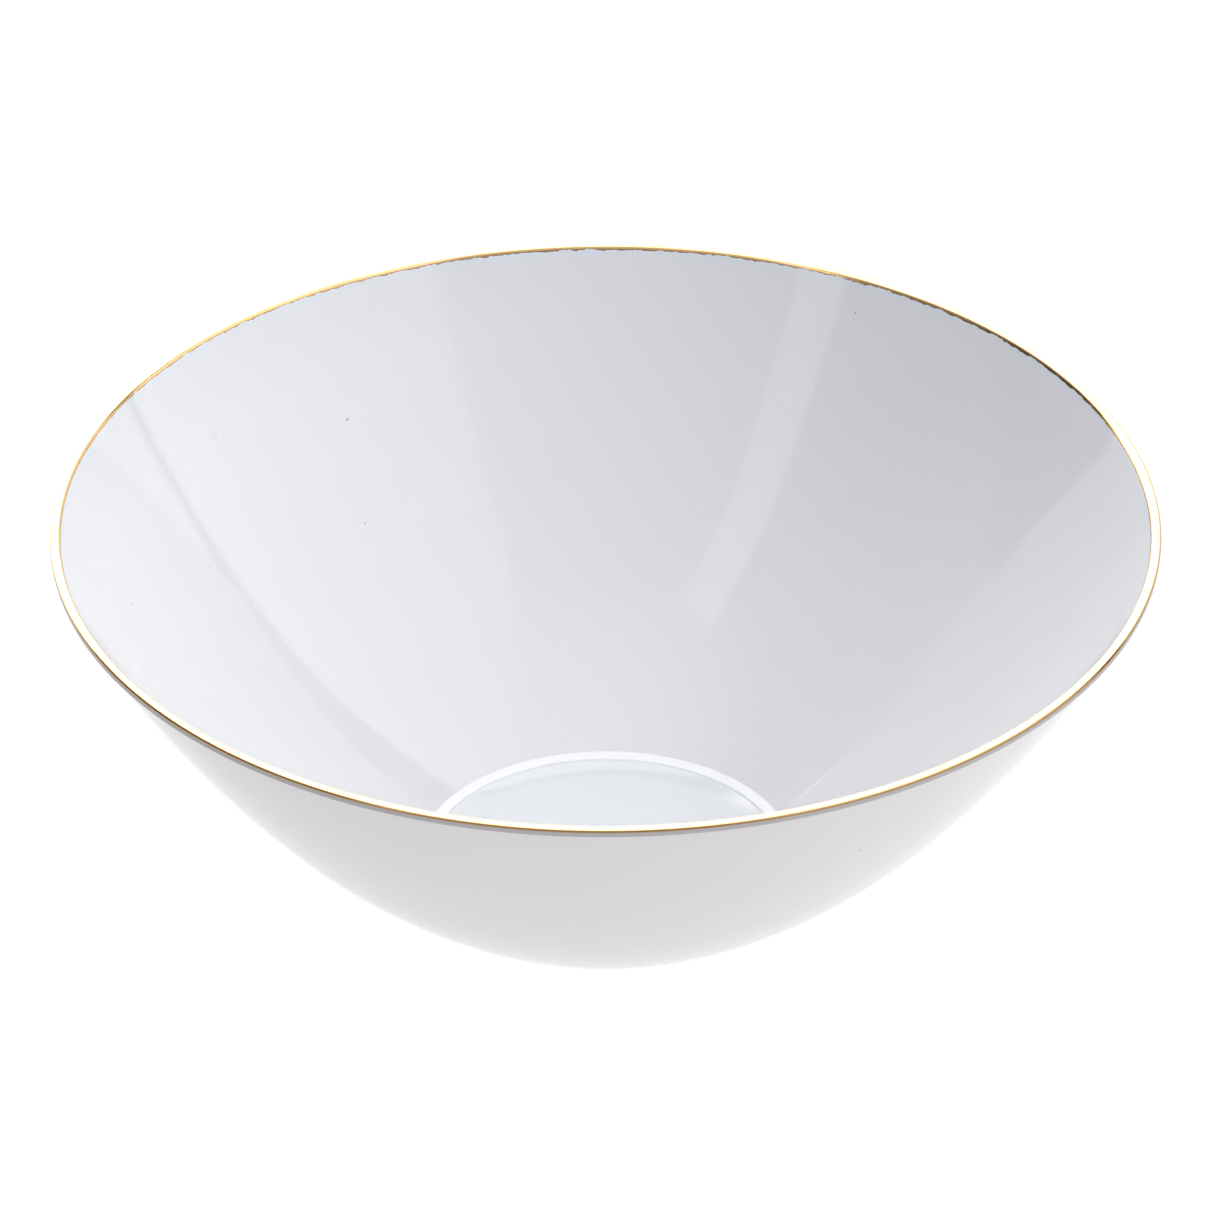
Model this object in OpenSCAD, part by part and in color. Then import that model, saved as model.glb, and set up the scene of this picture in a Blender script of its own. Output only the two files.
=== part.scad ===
// Porcelain serving bowl with a gilded lip, a curved wall, a ringed well and a low turned foot.
// Millimetres. The origin is at the middle of the standing face, and +Z points up.
// Every piece is turned about Z. Its outline is walked down from the middle of the lip's top,
// once along the outside and once along the inside, in lines and tangent arcs.

/* [Overall] */
// Diameter over the gilded lip
rim_d = 250; // [246:0.5:256]
// Height from the standing face to the top of the lip
height = 95; // [94:0.25:97]

/* [Lip] */
// Width of the flat on top of the lip
crown_w = 1.3; // [0.9:0.05:1.5]
// Radius of the lip's two rounded edges, before glazing
lip_edge_r = 0.2; // [0.1:0.05:0.3]
// Height of the upright band around the outside of the lip, edges included
bead_h = 1.8; // [1.4:0.05:2.2]
// How far that band stands out from the wall below it
bead_w = 0.97; // [0.9:0.01:1.3]

/* [Outer wall] */
// Slope of the wall just below the lip, in degrees from level
wall_slope = 60.45; // [59.95:0.05:60.95]
// Radius of the upper part of the wall's curve
upper_r = 317; // [300:1:335]
// Slope where that part ends
belly_slope = 49.2; // [48.7:0.1:50.2]
// Radius of the lower part of the wall's curve
belly_r = 181; // [172:1:186]
// Slope where the wall turns in towards the foot
heel_slope = 31; // [30:0.5:32]
// Radius of that turn
heel_r = 20; // [19:0.5:22]

/* [Inner wall] */
// Slope of the inside just below the lip
inner_slope = 59.7; // [59.3:0.1:60.1]
// Radius of the upper part of the inside
inner_upper_r = 352; // [340:1:365]
// Slope where that part ends, and a last arc runs on to the well
inner_belly_slope = 50.5; // [50:0.1:51.5]

/* [Well] */
// Radius at which the wall ends and the well's bright ring begins
well_r = 42.7; // [41.5:0.1:43.5]
// Depth of that place below the top of the lip
well_depth = 87.15; // [86.6:0.05:87.5]
// Width of the ring
ring_w = 2.3; // [1.5:0.1:3]
// Fall of the ring towards the middle, in degrees
ring_slope = 12; // [8:0.5:16]
// Slope of the small riser inside the ring
riser_slope = 35; // [25:1:45]
// Length of the riser
riser_l = 0.25; // [0.1:0.05:0.5]
// Slope of the floor at its edge
floor_slope = 9.1; // [6.1:0.5:10.1]
// Radius of the floor's curve, which runs out into a flat middle
floor_r = 90; // [60:5:110]

/* [Foot] */
// Height of the foot ring
foot_h = 2.2; // [2:0.05:2.4]
// Slope of the foot's outer flank
flank_slope = 82; // [76:1:86]
// Slope of the foot's inner flank
inner_flank_slope = 78; // [72:1:84]
// Radius of the rounded edges of the standing face
foot_edge_r = 0.6; // [0.4:0.05:0.8]
// Width of the standing face's flat
stand_w = 1.4; // [1:0.1:2]
// Depth of the recess inside the foot
recess_h = 3.6; // [3.4:0.1:3.9]

/* [Coats] */
// Thickness of the fired glaze
glaze_t = 0.25; // [0.15:0.01:0.3]
// Thickness of the gilding
gold_t = 0.06; // [0.04:0.01:0.1]
// How far the gilding reaches down the outside, below the lip's edge
gold_out = 0.05; // [0:0.05:0.3]
// How far the gilding reaches down the inside, below the lip's edge
gold_in = 0.2; // [0.1:0.05:0.8]
// Width of bare clay up each flank of the foot
bare_h = 0.5; // [0.3:0.05:0.7]

/* [Hidden] */
$fn = 180;

sag = 0.01; // furthest that a curve's chord lies from the curve
bead_corner_r = 0.1; // lower corner of the lip's upright band, before glazing
bead_under_slope = 15;
bead_fillet_r = 0.6; // hollow corner between that band and the wall
foot_fillet_r = 1.2; // hollow corner between the heel and the foot
heel_end_slope = 9; // slope of the heel where that corner begins
recess_fillet_r = 1.25;
well_fillet_r = 0.7; // hollow corners on both sides of the ring
ring_edge_r = 0.3;

clay_top = height - gold_t - glaze_t;
clay_rim_r = rim_d / 2 - gold_t - glaze_t;
crown_r = clay_rim_r - lip_edge_r - crown_w / 2; // middle of the lip's top

// A place on an outline is [r, z, slope]. The slope is the angle below level of a walk towards the
// axis: 180 walks away from the axis, 90 straight down, 0 level towards the axis, and -90 up.

// Where a walk of a given length along the present slope ends
function along(p, length) = [p[0] - length * cos(p[2]), p[1] - length * sin(p[2]), p[2]];

// Where an arc ends. The radius is positive where the slope falls and negative where it rises.
function turned(p, r, slope) = [
  p[0] - r * (sin(p[2]) - sin(slope)),
  p[1] - r * (cos(slope) - cos(p[2])),
  slope
];

// The places along an arc, without its first
function arc(p, r, slope) =
  let (steps = ceil(abs(p[2] - slope) / (2 * acos(1 - sag / max(abs(r), 2 * sag)))))
  [for (i = [1:steps]) turned(p, r, p[2] + (slope - p[2]) * i / steps)];

// The slope at which an arc from p reaches the place q
function slope_at(p, q) = 2 * atan2(p[1] - q[1], p[0] - q[0]) - p[2];

// The radius of that arc
function radius_to(p, q) = (p[0] - q[0]) / (sin(p[2]) - sin(slope_at(p, q)));

function last(list) = list[len(list) - 1];
function reversed(list) = [for (i = [len(list) - 1:-1:0]) list[i]];
function points(places) = [for (p = places) [p[0], p[1]]];

// Moves places of the outer outline away from the clay, and of the inner one
function outer_coat(places, t) = [for (p = places) [p[0] + t * sin(p[2]), p[1] - t * cos(p[2]), p[2]]];
function inner_coat(places, t) = outer_coat(places, -t);

// ---- Outer outline, from the middle of the lip's top to the middle of the underside ----

crown_out = [crown_r, clay_top, 180];
lip_out = along(crown_out, crown_w / 2);
lip_edge_out = arc(lip_out, lip_edge_r, 90);
gold_end_out = along(last(lip_edge_out), gold_out);

// The upright band's straight part ends just above its lower corner
bead_low_z = height - bead_h + glaze_t + bead_corner_r;
bead_low = along(last(lip_edge_out), last(lip_edge_out)[1] - bead_low_z);
bead_corner = arc(bead_low, bead_corner_r, bead_under_slope);

// The bead's underside runs in until its fillet meets the line of the wall
wall_line = [clay_rim_r - bead_w, last(bead_corner)[1], wall_slope];
fillet_from_corner = turned(last(bead_corner), -bead_fillet_r, wall_slope);
to_wall = [fillet_from_corner[0] - wall_line[0], fillet_from_corner[1] - wall_line[1]];
under_l = (to_wall[0] * sin(wall_slope) - to_wall[1] * cos(wall_slope)) / sin(wall_slope - bead_under_slope);
bead_under = along(last(bead_corner), under_l);
bead_fillet = arc(bead_under, -bead_fillet_r, wall_slope);

wall_upper = arc(last(bead_fillet), upper_r - glaze_t, belly_slope);
wall_lower = arc(last(wall_upper), belly_r - glaze_t, heel_slope);
heel = arc(last(wall_lower), heel_r - glaze_t, heel_end_slope);
foot_fillet = arc(last(heel), -foot_fillet_r, flank_slope);
flank_l = (last(foot_fillet)[1] - foot_edge_r * (1 - cos(flank_slope))) / sin(flank_slope);
glaze_end_out = along(last(foot_fillet), flank_l - bare_h);
foot_edge_start = along(last(foot_fillet), flank_l);
foot_edge_out = arc(foot_edge_start, foot_edge_r, 0);
stand_end = along(last(foot_edge_out), stand_w);
foot_edge_in = arc(stand_end, foot_edge_r, -inner_flank_slope);
glaze_start_base = along(last(foot_edge_in), bare_h);
recess_rise = recess_fillet_r * (1 - cos(inner_flank_slope));
inner_flank_l = (recess_h - recess_rise - last(foot_edge_in)[1]) / sin(inner_flank_slope);
recess_start = along(last(foot_edge_in), inner_flank_l);
recess_fillet = arc(recess_start, -recess_fillet_r, 0);
base_middle = [0, recess_h, 0];

outer_gilded = concat([crown_out, lip_out], lip_edge_out, [gold_end_out]);
outer_glazed = concat(
  outer_gilded, [bead_low], bead_corner, [bead_under], bead_fillet,
  wall_upper, wall_lower, heel, foot_fillet, [glaze_end_out]
);
foot_bare = concat([foot_edge_start], foot_edge_out, [stand_end], foot_edge_in);
base_glazed = concat([glaze_start_base, recess_start], recess_fillet, [base_middle]);

// ---- Inner outline, from the middle of the lip's top to the middle of the floor ----

crown_in = [crown_r, clay_top, 0];
lip_in = along(crown_in, crown_w / 2);
lip_edge_in = arc(lip_in, -lip_edge_r, inner_slope);
gold_end_in = along(last(lip_edge_in), gold_in);
inner_upper = arc(gold_end_in, inner_upper_r + glaze_t, inner_belly_slope);
well_edge = [well_r, height - well_depth - glaze_t];
inner_belly = last(inner_upper);
inner_lower = arc(inner_belly, radius_to(inner_belly, well_edge), slope_at(inner_belly, well_edge));
well_fillet = arc(last(inner_lower), well_fillet_r, ring_slope);
ring_end = along(last(well_fillet), ring_w);
ring_edge = arc(ring_end, -ring_edge_r, riser_slope);
riser_end = along(last(ring_edge), riser_l);
floor_fillet = arc(riser_end, well_fillet_r, floor_slope);
floor_curve = arc(last(floor_fillet), floor_r, 0);
floor_middle = [0, last(floor_curve)[1], 0];

inner_gilded = concat([crown_in, lip_in], lip_edge_in, [gold_end_in]);
inner_glazed = concat(
  inner_gilded, inner_upper, inner_lower, well_fillet, [ring_end], ring_edge,
  [riser_end], floor_fillet, floor_curve, [floor_middle]
);

// ---- Pieces ----

// All the clay: the wall, the floor and the foot in one outline
module clay_outline() {
  outside = concat(outer_glazed, foot_bare, base_glazed);
  polygon(points(concat(inner_glazed, reversed(outside))));
}

// The clay between two heights
module clay_between(low, high) {
  rotate_extrude() intersection() {
    clay_outline();
    translate([0, low]) square([rim_d, high - low]);
  }
}

// The fired clay of the wall and the floor, a thin shell
module porcelain_body() {
  color("#efece6") clay_between(foot_h, height);
}

// The low ring that the bowl stands on, bare at its standing face
module foot_ring() {
  color("#e4ded2") clay_between(0, foot_h);
}

// The glaze over the whole inside
module inner_glaze() {
  color("#eef1f5") rotate_extrude()
    polygon(points(concat(inner_glazed, reversed(inner_coat(inner_glazed, glaze_t)))));
}

// The glaze outside, from the lip down to the bare edge of the foot
module outer_glaze() {
  color("#dddbd9") rotate_extrude()
    polygon(points(concat(outer_glazed, reversed(outer_coat(outer_glazed, glaze_t)))));
}

// The glaze inside the foot's recess
module base_glaze() {
  color("#e6e4e2") rotate_extrude()
    polygon(points(concat(base_glazed, reversed(outer_coat(base_glazed, glaze_t)))));
}

// The band of gold over the glazed lip
module gold_rim() {
  full_t = glaze_t + gold_t;
  under = concat(reversed(inner_coat(inner_gilded, glaze_t)), outer_coat(outer_gilded, glaze_t));
  over = concat(reversed(inner_coat(inner_gilded, full_t)), outer_coat(outer_gilded, full_t));
  color("#d6a64c") rotate_extrude() polygon(points(concat(under, reversed(over))));
}

porcelain_body();
foot_ring();
inner_glaze();
outer_glaze();
base_glaze();
gold_rim();
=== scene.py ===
"""Looks for the porcelain serving bowl: glazed and gilded pieces turned about Z from the CAD sections."""

import functools
import math
from collections import namedtuple

import bpy
import numpy as np
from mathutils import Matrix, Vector


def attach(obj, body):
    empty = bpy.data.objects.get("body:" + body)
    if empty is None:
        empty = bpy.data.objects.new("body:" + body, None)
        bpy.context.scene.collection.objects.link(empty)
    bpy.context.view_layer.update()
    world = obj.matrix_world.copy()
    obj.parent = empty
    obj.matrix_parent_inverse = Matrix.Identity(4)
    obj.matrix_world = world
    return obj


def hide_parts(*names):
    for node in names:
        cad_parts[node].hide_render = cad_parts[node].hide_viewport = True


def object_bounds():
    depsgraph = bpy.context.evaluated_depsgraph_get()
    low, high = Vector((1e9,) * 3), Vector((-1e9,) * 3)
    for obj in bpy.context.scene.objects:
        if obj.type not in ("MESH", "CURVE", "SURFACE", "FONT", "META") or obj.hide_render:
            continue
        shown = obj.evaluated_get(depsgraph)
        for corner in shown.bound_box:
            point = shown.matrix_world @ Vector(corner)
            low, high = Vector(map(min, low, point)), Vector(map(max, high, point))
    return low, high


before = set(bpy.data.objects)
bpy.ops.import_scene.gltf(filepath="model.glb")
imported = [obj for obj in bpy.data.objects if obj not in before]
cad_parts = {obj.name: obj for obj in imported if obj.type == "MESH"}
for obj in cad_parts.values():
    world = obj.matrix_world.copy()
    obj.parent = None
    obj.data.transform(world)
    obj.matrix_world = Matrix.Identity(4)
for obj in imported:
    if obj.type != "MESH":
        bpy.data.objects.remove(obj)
cad_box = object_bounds()

MM = 0.001
BODY = "root"


def toward(azimuth):
    """A level unit vector: azimuth 0 is beyond the bowl, and 90 is to its right."""
    a = math.radians(azimuth)
    return Vector((math.sin(a), math.cos(a), 0))


# ---- Sections of the turned CAD nodes ----

MICRON_DIGITS = 6  # decimals of a metre that tell two mesh points apart
SAME_RING = 0.004 * MM  # mesh points closer than this in radius and height are on one circle
CORNER = math.radians(50)  # the outline is sharp where it turns by more than this
FINE_TURN = math.radians(4)  # a curve is divided until each step turns by less than this
LONGER = 2.0  # a line this many times longer than its neighbour is straight up to their joint


def circles(mesh):
    """The circles of a turned mesh as (r, z) rows, and the pairs of circles that its faces join."""
    co = np.array([v.co for v in mesh.vertices])
    rz = np.column_stack((np.hypot(co[:, 0], co[:, 1]), co[:, 2]))
    spots, spot_of = np.unique(np.round(rz, MICRON_DIGITS), axis=0, return_inverse=True)
    found = []
    ring_of = np.empty(len(spots), int)
    for i, spot in enumerate(spots):
        near = [k for k, ring in enumerate(found) if np.abs(spot - ring).max() < SAME_RING]
        if not near:
            near = [len(found)]
            found.append(spot)
        ring_of[i] = near[0]
    ends = ring_of[spot_of.ravel()][np.array([e.vertices[:] for e in mesh.edges])]
    pairs = np.unique(np.sort(ends[ends[:, 0] != ends[:, 1]], axis=1), axis=0)
    return np.array(found), pairs


@functools.cache
def section(node):
    """A turned node's outline as (r, z) rows with the solid on its left, and whether it is a loop.
    An outline that isn't a loop starts and ends on the axis."""
    rings, pairs = circles(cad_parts[node].data)
    joined = {i: [] for i in range(len(rings))}
    for a, b in pairs:
        joined[a].append(b)
        joined[b].append(a)
    ends = [i for i in joined if len(joined[i]) == 1]
    order = [ends[0] if ends else 0]
    while True:
        onward = [i for i in joined[order[-1]] if i not in order]
        if not onward:
            break
        order.append(onward[0])
    line = rings[order]
    if ends:
        line = np.vstack(([0, line[0, 1]], line, [0, line[-1, 1]]))
    r, z = line.T
    if np.sum(r * np.roll(z, -1) - np.roll(r, -1) * z) < 0:
        line = line[::-1]
    return line, not ends


def unit(v):
    return v / np.linalg.norm(v)


def smooth_steps(line, loop):
    """Divides an outline into fine steps, each ((r, z), (r, z), tangent, tangent)."""
    chords = np.roll(line, -1, axis=0) - line
    if not loop:
        chords = chords[:-1]
    count = len(chords)
    lengths = np.linalg.norm(chords, axis=1)
    along = chords / lengths[:, None]
    arrive = along.copy()  # tangent at each chord's end
    leave = along.copy()  # tangent at its start
    for i in range(count):
        j = (i + 1) % count
        if j == 0 and not loop:
            continue
        if along[i] @ along[j] < math.cos(CORNER):
            continue
        a, b = lengths[i], lengths[j]
        if a > LONGER * b:
            joint = along[i]
        elif b > LONGER * a:
            joint = along[j]
        else:
            joint = unit(along[i] * b + along[j] * a)
        arrive[i] = joint
        leave[j] = joint
    steps = []
    for i in range(count):
        p, q = line[i], line[i] + chords[i]
        t0, t1 = leave[i] * lengths[i], arrive[i] * lengths[i]
        turn = math.acos(min(1, leave[i] @ arrive[i]))
        places = []
        for s in np.linspace(0, 1, max(1, math.ceil(turn / FINE_TURN)) + 1):
            at = (2 * s**3 - 3 * s**2 + 1) * p + (s**3 - 2 * s**2 + s) * t0
            at = at + (3 * s**2 - 2 * s**3) * q + (s**3 - s**2) * t1
            way = (6 * s**2 - 6 * s) * (p - q) + (3 * s**2 - 4 * s + 1) * t0 + (3 * s**2 - 2 * s) * t1
            places.append((at, unit(way)))
        steps += [(a[0], b[0], a[1], b[1]) for a, b in zip(places, places[1:])]
    return steps


SIDES = 360  # around every turned piece
angles = np.arange(SIDES) * (2 * math.pi / SIDES)
spokes = np.column_stack((np.cos(angles), np.sin(angles)))


def turned(name, node):
    """A piece with the node's section turned about Z, with exact normals and sharp corners."""
    steps = smooth_steps(*section(node))
    verts, faces, normals = [], [], []
    first = {}

    def ring(p):
        key = (round(p[0] / MM, 5), round(p[1] / MM, 5))
        if key not in first:
            first[key] = len(verts)
            if p[0] < SAME_RING:
                verts.append((0, 0, p[1]))
            else:
                verts.extend((p[0] * x, p[0] * y, p[1]) for x, y in spokes)
        return first[key]

    for p, q, way_p, way_q in steps:
        a, b = ring(p), ring(q)
        for k in range(SIDES):
            m = (k + 1) % SIDES
            corners = []
            if p[0] < SAME_RING:
                corners = [(a, k, way_p), (b + m, m, way_q), (b + k, k, way_q)]
            elif q[0] < SAME_RING:
                corners = [(a + k, k, way_p), (a + m, m, way_p), (b, k, way_q)]
            else:
                corners = [(a + k, k, way_p), (a + m, m, way_p), (b + m, m, way_q), (b + k, k, way_q)]
            faces.append([c[0] for c in corners])
            for _, side, way in corners:
                normals.append((way[1] * spokes[side, 0], way[1] * spokes[side, 1], -way[0]))
    mesh = bpy.data.meshes.new(name)
    mesh.from_pydata(verts, [], faces)
    mesh.shade_smooth()
    mesh.normals_split_custom_set(normals)
    mesh.update()
    piece = bpy.data.objects.new(name, mesh)
    bpy.context.scene.collection.objects.link(piece)
    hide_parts(node)
    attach(piece, BODY)
    return piece


# ---- Materials ----


Place = namedtuple("Place", "point y z radius")


class Tree:
    """Short calls for building one material's nodes."""

    def __init__(self, name):
        self.material = bpy.data.materials.new(name)
        self.material.use_nodes = True
        self.nodes = self.material.node_tree.nodes
        self.links = self.material.node_tree.links
        self.shader = self.nodes["Principled BSDF"]
        self.output = self.nodes["Material Output"]

    def put(self, socket, value):
        if isinstance(value, bpy.types.NodeSocket):
            self.links.new(value, socket)
        elif value is not None:
            socket.default_value = value

    def node(self, kind, inputs=(), **settings):
        made = self.nodes.new(kind)
        for key, value in settings.items():
            setattr(made, key, value)
        for key, value in dict(inputs).items():
            self.put(made.inputs[key], value)
        return made

    def math(self, operation, a, b=None):
        made = self.node("ShaderNodeMath", operation=operation)
        for socket, value in zip(made.inputs, (a, b)):
            self.put(socket, value)
        return made.outputs[0]

    def ramp(self, value, low, high, to_low=0.0, to_high=1.0):
        """Goes smoothly from to_low to to_high while value goes from low to high."""
        inputs = {"Value": value, "From Min": low, "From Max": high, "To Min": to_low, "To Max": to_high}
        return self.node("ShaderNodeMapRange", inputs, interpolation_type="SMOOTHSTEP").outputs[0]

    def noise(self, place, scale, detail=2.0, roughness=0.5):
        inputs = {"Vector": place, "Scale": scale, "Detail": detail, "Roughness": roughness}
        return self.node("ShaderNodeTexNoise", inputs).outputs["Fac"]

    def mix(self, amount, a, b):
        made = self.node("ShaderNodeMix", data_type="RGBA")
        for socket, value in ((made.inputs[0], amount), (made.inputs[6], a), (made.inputs[7], b)):
            self.put(socket, value)
        return made.outputs[2]

    def place(self):
        """The point in the row frame, in metres, with its Y, Z and radius."""
        point = self.node("ShaderNodeTexCoord").outputs["Object"]
        x, y, z = self.node("ShaderNodeSeparateXYZ", {0: point}).outputs
        squares = [self.math("MULTIPLY", c, c) for c in (x, y)]
        radius = self.math("SQRT", self.math("ADD", *squares))
        return Place(point, y, z, radius)

    def distance(self, point, place):
        return self.node("ShaderNodeVectorMath", {0: point, 1: place}, operation="DISTANCE").outputs["Value"]

    def bump(self, height, depth):
        return self.node("ShaderNodeBump", {"Height": height, "Distance": depth}).outputs[0]

    def finish(self, **inputs):
        for key, value in inputs.items():
            self.put(self.shader.inputs[key.replace("_", " ")], value)
        return self.material


def rgb(r, g, b):
    return (r, g, b, 1.0)


CLAY_WHITE = rgb(0.84, 0.835, 0.825)
CLAY_SHADE = rgb(0.76, 0.74, 0.70)
INSIDE_WHITE = rgb(0.79, 0.79, 0.82)
# The outside is the same glaze as the inside, given a darker white: painted shade for the weaker light it
# gets.
SHADED_OUTSIDE_WHITE = rgb(0.68, 0.664, 0.672)
POOLED_BLUE = rgb(0.80, 0.825, 0.86)
RIM_BLUE = rgb(0.74, 0.785, 0.85)
# A grey band on the white glaze just under the lip outside: painted shade.
BEAD_PAINTED_SHADE = rgb(0.45, 0.435, 0.442)
SPECK_BROWN = rgb(0.16, 0.13, 0.11)
GOLD = rgb(0.90, 0.60, 0.30)
GOLD_DEEP = rgb(0.84, 0.53, 0.24)
GOLD_DARK_REFLECTION = rgb(0.38, 0.24, 0.12)  # painted dark reflection on the gold's outer corner
GOLD_BACK_REFLECTION = rgb(0.50, 0.32, 0.18)  # painted dark reflection on the band at the back
GOLD_EDGE_DARK = rgb(0.19, 0.12, 0.06)  # darker along its lower edge at the back

GLAZE_ROUGH = 0.06
BAND_ROUGH = 0.26  # of the gold that runs down the inside
GOLD_ROUGH = (0.10, 0.18)  # of the gilding on the lip
CLAY_ROUGH = (0.62, 0.8)
INSIDE_IOR = 1.5
OUTSIDE_IOR = 1.15  # a weaker shine outside
BLUE_AT_RIM = 0.8
BLUE_IN_WELL = 0.9
CLOUDINESS = 0.5
CLOUD_FADE = 0.985  # the glaze would be darker by this factor in a full cloud
SPECK_DEPTH = 0.65  # how much of a speck's brown shows through the glaze

# Depths of the unevenness in the surfaces
GLAZE_DEPTH = 0.04 * MM
CLAY_DEPTH = 0.05 * MM
GOLD_DEPTH = 0.01 * MM

# Noises, each as its scale per metre, its detail and, where it isn't even, its roughness
CLOUDS = (14, 3)
RIPPLES = (38, 2)
RAGS = (330, 4, 0.7)
CLAY_GRAIN = (1800, 3)
CLAY_PATCHES = (120, 3)
GOLD_PATCHES = (60, 3)
GOLD_GRAIN = (420, 3)
GOLD_RIPPLES = (300, 2)
MIDDLE = (0.3, 0.7)  # the part of a noise's range that is spread over a ramp
CLAY_MIDDLE = (0.35, 0.7)  # and that of the clay's patches

rim_z = cad_box[1].z
rim_r = cad_box[1].x

# Bands under the lip, each from no effect to full effect, as depths below it in mm
BLUE_BAND = (3.2, 1.2)
# the band of painted shade on the outer bead
BEAD_SHADE_BAND = (2.75, 2.55)
GOLD_BAND = (0.74, 0.66)
EDGE_DARK_BAND = (0.5, 0.7)

WELL = (0.368 * rim_r, 0.304 * rim_r)  # radii between which the well's blue sets in
GOLD_REFLECTION_RADII = (rim_r - 0.26 * MM, rim_r - 0.14 * MM)  # radii between which the painted dark reflection sets in on the gilding
BACK_REFLECTION_Y = (0.16 * rim_r, 0.8 * rim_r)  # Y between which the gold band darkens with painted dark reflection at the back
RAGGED_BACK = (0, 0.72 * rim_r)  # and its lower edge ragged
RAGGED = (0.1 * MM, 1.5 * MM)  # by this much, in front and at the back

# Iron specks in the glaze, each (azimuth in degrees, share of the bowl's height, size in mm)
SPECKS_INSIDE = [(-34, 0.73, 0.6), (-86, 0.74, 0.45), (-37, 0.53, 0.4), (29, 0.93, 0.45)]
SPECKS_OUTSIDE = [(129, 0.68, 0.7), (149, 0.73, 0.6)]
SPECK_EDGE = (0.3, 0.7)  # a speck fades between these shares of its size
BLEMISH = (-53, 0.82)  # a faint round mark inside
BLEMISH_EDGE = (0.8 * MM, 1.6 * MM)
BLEMISH_DEPTH = 0.05


def spot(node, azimuth, level):
    """The point at an azimuth and a share of the height, on the seen face of the inner or outer glaze."""
    line, _ = section(node)
    z = level * rim_z
    crossed = []
    for (r0, z0), (r1, z1) in zip(line, np.roll(line, -1, axis=0)):
        if min(z0, z1) <= z < max(z0, z1):
            crossed.append(r0 + (r1 - r0) * (z - z0) / (z1 - z0))
    radius = min(crossed) if node == "inner_glaze" else max(crossed)
    return toward(azimuth) * radius + Vector((0, 0, z))


def up_band(t, height, band, most=1.0):
    """Goes from 0 to most as the height goes through a band under the lip."""
    start, full = (rim_z - depth * MM for depth in band)
    if start < full:
        return t.ramp(height, start, full, 0, most)
    return t.ramp(height, full, start, most, 0)


def cloudy(t, at, white):
    """The glaze's white, faintly uneven."""
    cloud = t.ramp(t.noise(at.point, *CLOUDS), *MIDDLE, 0, CLOUDINESS)
    return t.mix(cloud, white, rgb(*(c * CLOUD_FADE for c in white[:3])))


def specked(t, at, colour, node, specks):
    """Adds iron specks to the glaze on a node."""
    full, none = SPECK_EDGE
    for azimuth, level, size in specks:
        away = t.distance(at.point, spot(node, azimuth, level))
        dot = t.ramp(away, size * full * MM, size * none * MM, SPECK_DEPTH, 0)
        colour = t.mix(dot, colour, SPECK_BROWN)
    return colour


def rippled(t, at):
    """The normal of the faintly rippled glaze."""
    return t.bump(t.noise(at.point, *RIPPLES), GLAZE_DEPTH)


def gold_band(t, at):
    """Where gold runs down the inside from the lip, its lower edge worn at the back, and its colour, darker
    at the back with a painted dark reflection.
    """
    at_back = t.ramp(at.y, *BACK_REFLECTION_Y)
    rag = t.math("SUBTRACT", t.noise(at.point, *RAGS), 0.5)
    height = t.math("ADD", at.z, t.math("MULTIPLY", rag, t.ramp(at.y, *RAGGED_BACK, *RAGGED)))
    edge_dark = t.math("MULTIPLY", up_band(t, height, EDGE_DARK_BAND), at_back)
    # the band darkens towards the back: painted dark reflection
    colour = t.mix(edge_dark, t.mix(at_back, GOLD_DEEP, GOLD_BACK_REFLECTION), GOLD_EDGE_DARK)
    return up_band(t, height, GOLD_BAND), colour


def inside_glaze(name):
    """Gloss glaze, bluish where it is thick at the rim and in the well, and gilded just under the lip."""
    t = Tree(name)
    at = t.place()
    colour = cloudy(t, at, INSIDE_WHITE)
    colour = t.mix(up_band(t, at.z, BLUE_BAND, BLUE_AT_RIM), colour, RIM_BLUE)
    well_edge, well_blue = WELL
    colour = t.mix(t.ramp(at.radius, well_blue, well_edge, BLUE_IN_WELL, 0), colour, POOLED_BLUE)
    from_mark = t.distance(at.point, spot("inner_glaze", *BLEMISH))
    colour = t.mix(t.ramp(from_mark, *BLEMISH_EDGE, BLEMISH_DEPTH, 0), colour, SPECK_BROWN)
    colour = specked(t, at, colour, "inner_glaze", SPECKS_INSIDE)
    gilt, gilt_colour = gold_band(t, at)
    return t.finish(
        Base_Color=t.mix(gilt, colour, gilt_colour),
        Metallic=gilt,
        Roughness=t.ramp(gilt, 0, 1, GLAZE_ROUGH, BAND_ROUGH),
        IOR=INSIDE_IOR,
        Normal=rippled(t, at),
    )


def outside_glaze(name):
    """Gloss glaze in a darker white than inside, which is painted shade, and greyer still on the narrow bead
    under the lip, also painted shade.
    """
    t = Tree(name)
    at = t.place()
    # the bead's grey is painted shade
    colour = t.mix(up_band(t, at.z, BEAD_SHADE_BAND), cloudy(t, at, SHADED_OUTSIDE_WHITE), BEAD_PAINTED_SHADE)
    return t.finish(
        Base_Color=specked(t, at, colour, "outer_glaze", SPECKS_OUTSIDE),
        Roughness=GLAZE_ROUGH,
        IOR=OUTSIDE_IOR,
        Normal=rippled(t, at),
    )


def base_glaze(name):
    """Plain gloss glaze inside the foot ring, in the outside's darker white, which is painted shade."""
    t = Tree(name)
    at = t.place()
    return t.finish(
        Base_Color=cloudy(t, at, SHADED_OUTSIDE_WHITE),
        Roughness=GLAZE_ROUGH,
        IOR=OUTSIDE_IOR,
        Normal=rippled(t, at),
    )


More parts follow.
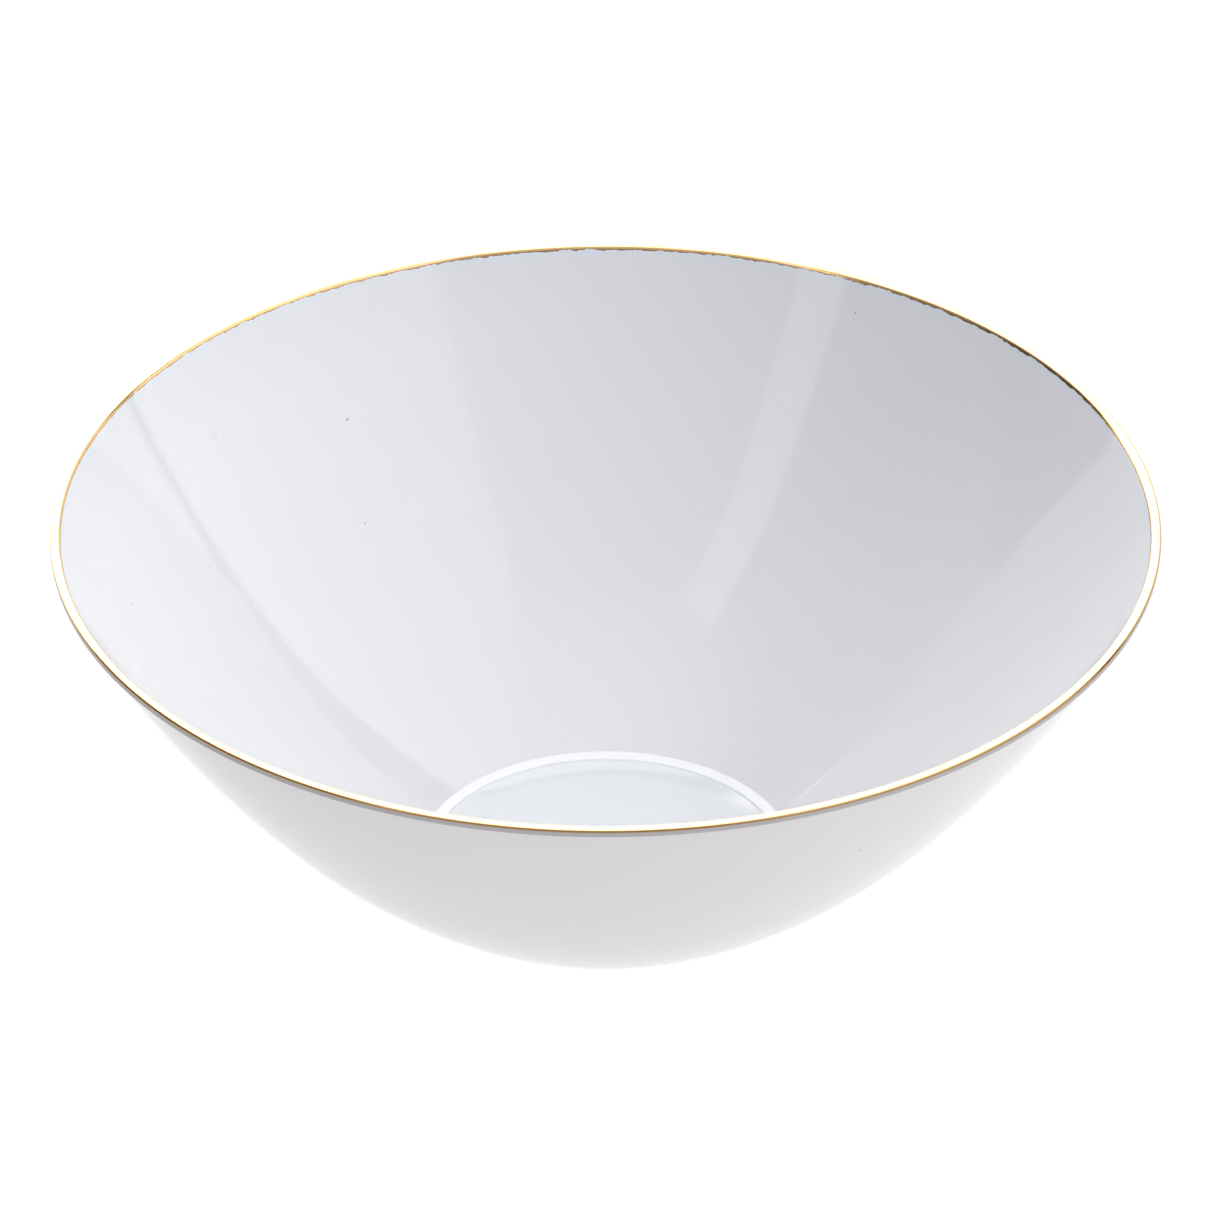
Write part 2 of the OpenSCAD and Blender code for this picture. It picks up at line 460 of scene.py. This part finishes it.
def bisque(name):
    """Fired clay without glaze, fine and matt."""
    t = Tree(name)
    at = t.place()
    grain = t.noise(at.point, *CLAY_GRAIN)
    patch = t.ramp(t.noise(at.point, *CLAY_PATCHES), *CLAY_MIDDLE)
    return t.finish(
        Base_Color=t.mix(patch, CLAY_WHITE, CLAY_SHADE),
        Roughness=t.ramp(grain, *MIDDLE, *CLAY_ROUGH),
        Normal=t.bump(grain, CLAY_DEPTH),
    )


def gilding(name):
    """Bright gold fired on the lip, slightly uneven, and darkened on the outer corner by a painted dark
    reflection.
    """
    t = Tree(name)
    at = t.place()
    colour = t.mix(t.ramp(t.noise(at.point, *GOLD_PATCHES), *MIDDLE), GOLD, GOLD_DEEP)
    return t.finish(
        # the outer corner's brown is a painted dark reflection
        Base_Color=t.mix(t.ramp(at.radius, *GOLD_REFLECTION_RADII), colour, GOLD_DARK_REFLECTION),
        Metallic=1.0,
        Roughness=t.ramp(t.noise(at.point, *GOLD_GRAIN), *MIDDLE, *GOLD_ROUGH),
        Normal=t.bump(t.noise(at.point, *GOLD_RIPPLES), GOLD_DEPTH),
    )


# node: (piece, slot, material)
PIECES = {
    "inner_glaze": ("inside_glaze", "inner_glaze", inside_glaze("glaze_inside")),
    "outer_glaze": ("outside_glaze", "outer_glaze", outside_glaze("glaze_outside")),
    "base_glaze": ("underside_glaze", "base_glaze", base_glaze("glaze_under_foot")),
    "foot_ring": ("foot", "biscuit", bisque("foot_bisque")),
    "gold_rim": ("gilded_lip", "gilding", gilding("lip_gilding")),
}

for node, (name, slot, material) in PIECES.items():
    piece = turned(name, node)
    piece.data.materials.append(material)

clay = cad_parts["porcelain_body"]
clay_material = bisque("porcelain_clay")
for material_slot in clay.material_slots:
    material_slot.material = clay_material

# ---- Floor, lights and camera ----

COARSE = spokes[::6]  # enough sides for the floor and the ceiling
FLOOR_R = 8.0
COVE_H = 0.3  # the floor turns up at its edge by this much
FLOOR_GLOW = 0.97
FLOOR_ROUGH = 0.9
FLOOR_GREY = rgb(0.1, 0.1, 0.1)  # dark, as nearly all its white is its own light


def make_floor():
    """A pale disc that gives light itself, so that the bowl stands on white without a shadow."""
    edge = [(x, y, 0) for x, y in COARSE * FLOOR_R]
    top = [(x, y, COVE_H) for x, y, _ in edge]
    count = len(edge)
    cove = [(k, (k + 1) % count, count + (k + 1) % count, count + k) for k in range(count)]
    mesh = bpy.data.meshes.new("floor")
    mesh.from_pydata(edge + top, [], [tuple(range(count))] + cove)
    mesh.materials.append(
        Tree("floor_white").finish(
            Base_Color=FLOOR_GREY,
            Roughness=FLOOR_ROUGH,
            Emission_Color=rgb(1, 1, 1),
            Emission_Strength=FLOOR_GLOW,
        )
    )
    floor = bpy.data.objects.new("floor", mesh)
    bpy.context.scene.collection.objects.link(floor)


make_floor()

# Soft boxes are flat and evenly bright.


def wall_box(azimuth, distance, corners):
    """Corners on an upright plane that faces the bowl, as metres across it and up it."""
    out, across = toward(azimuth), toward(azimuth + 90)
    return [out * distance + across * x + Vector((0, 0, z)) for x, z in corners]


def leaning_box(azimuth, low, high, width):
    """A rectangle that leans over the bowl, from low to high, each (distance, height)."""
    out, across = toward(azimuth), toward(azimuth + 90) * (width / 2)
    ends = [out * distance + Vector((0, 0, z)) for distance, z in (low, high)]
    return [ends[0] - across, ends[0] + across, ends[1] + across, ends[1] - across]


def rect(left, right, low, high):
    return [(left, low), (right, low), (right, high), (left, high)]


BACKDROP = 5.0  # distance of the two backdrop sheets beyond the bowl
NEARER = 4.0  # and of the boxes in front of them
RING_TOP = 4.94  # top of the two boxes that light the well's ring
GAP_LEFT = -0.66  # sides of the gap between them, which the well box fills in part
GAP_RIGHT = 0.76

left_sheet = [(0, 0), (-7, 0), (-7, 4.05), (-5.5, 4.6), (0, 4.6)]
right_sheet = [(0, 0), (14, 0), (11, 2.6), (5.5, 4.4), (0, 4.6)]
well_sheet = [(GAP_LEFT, 4.12), (0, 4.37), (GAP_RIGHT, 3.7), (GAP_RIGHT, RING_TOP), (GAP_LEFT, RING_TOP)]
key_sheet = [(13.5, 1.0), (5.2, 13.0), (-7.3, 17.7), (-1.8, 0.35)]

# (name, brightness, corners)
PANELS = [
    ("backdrop_left", 3.35, wall_box(0, BACKDROP, left_sheet)),
    ("backdrop_right", 1.18, wall_box(0, BACKDROP, right_sheet)),
    ("back_high", 4.2, wall_box(0, NEARER, rect(-1.8, 1.8, RING_TOP, 8.0))),
    ("ring_left", 3.8, wall_box(0, NEARER, rect(-1.6, GAP_LEFT, 2.6, RING_TOP))),
    ("ring_right", 3.8, wall_box(0, NEARER, rect(GAP_RIGHT, 1.6, 2.6, RING_TOP))),
    ("well_box", 1.7, wall_box(0, NEARER, well_sheet)),
    ("lip_box", 3.8, wall_box(0, 3.9, rect(-0.5, 0.5, 2.05, 2.95))),
    ("key_box", 1.5, wall_box(90, 5.2, key_sheet)),
    ("strip_box", 1.6, leaning_box(-133, (5.8, 2.4), (2.81, 5.07), 0.93)),
    ("left_fill", 0.36, wall_box(-90, 7.0, rect(-8, 8, 2.2, 9))),
    ("front_fill", 0.66, wall_box(180, 7.0, rect(-7, 7, 2.4, 14))),
]

# The soft ceiling is brightest in its middle and fades to its edge.
CEILING_Z = 14.0
CEILING_R = 16.0
CEILING_GLOW = 1.49


def glowing(name, corners, brightness, fade_radius=None):
    """A flat light-giving sheet, which is part of the studio. It can fade away from the Z axis."""
    mesh = bpy.data.meshes.new(name)
    mesh.from_pydata(corners, [], [range(len(corners))])
    t = Tree(name)
    strength = brightness
    if fade_radius:
        strength = t.ramp(t.place().radius, 0, fade_radius, brightness, 0)
    glow = t.node("ShaderNodeEmission", {"Color": rgb(1, 1, 1), "Strength": strength})
    t.links.new(glow.outputs[0], t.output.inputs["Surface"])
    mesh.materials.append(t.material)
    sheet = bpy.data.objects.new(name, mesh)
    bpy.context.scene.collection.objects.link(sheet)


for name, brightness, corners in PANELS:
    glowing(name, corners, brightness)

glowing("ceiling", [(x, y, CEILING_Z) for x, y in COARSE * CEILING_R], CEILING_GLOW, CEILING_R)

world = bpy.data.worlds.new("room")  # it gives no light of its own
world.use_nodes = True
world.node_tree.nodes["Background"].inputs["Strength"].default_value = 0.0
bpy.context.scene.world = world

bpy.context.scene.view_settings.view_transform = "Standard"

IMAGE = 1214  # width and height of the picture that the camera matches
FOCAL = 16000  # focal length in the same units
CAMERA_AT = (0.0003, -3.052, 2.0025)
TILT = (57.711, 0.054, -0.034)  # degrees about X, Y and Z
camera_data = bpy.data.cameras.new("camera")
camera_data.sensor_width = 36
camera_data.lens = camera_data.sensor_width * FOCAL / IMAGE
camera_data.clip_end = 40
camera = bpy.data.objects.new("camera", camera_data)
camera.location = CAMERA_AT
camera.rotation_euler = [math.radians(a) for a in TILT]
bpy.context.scene.collection.objects.link(camera)
bpy.context.scene.camera = camera
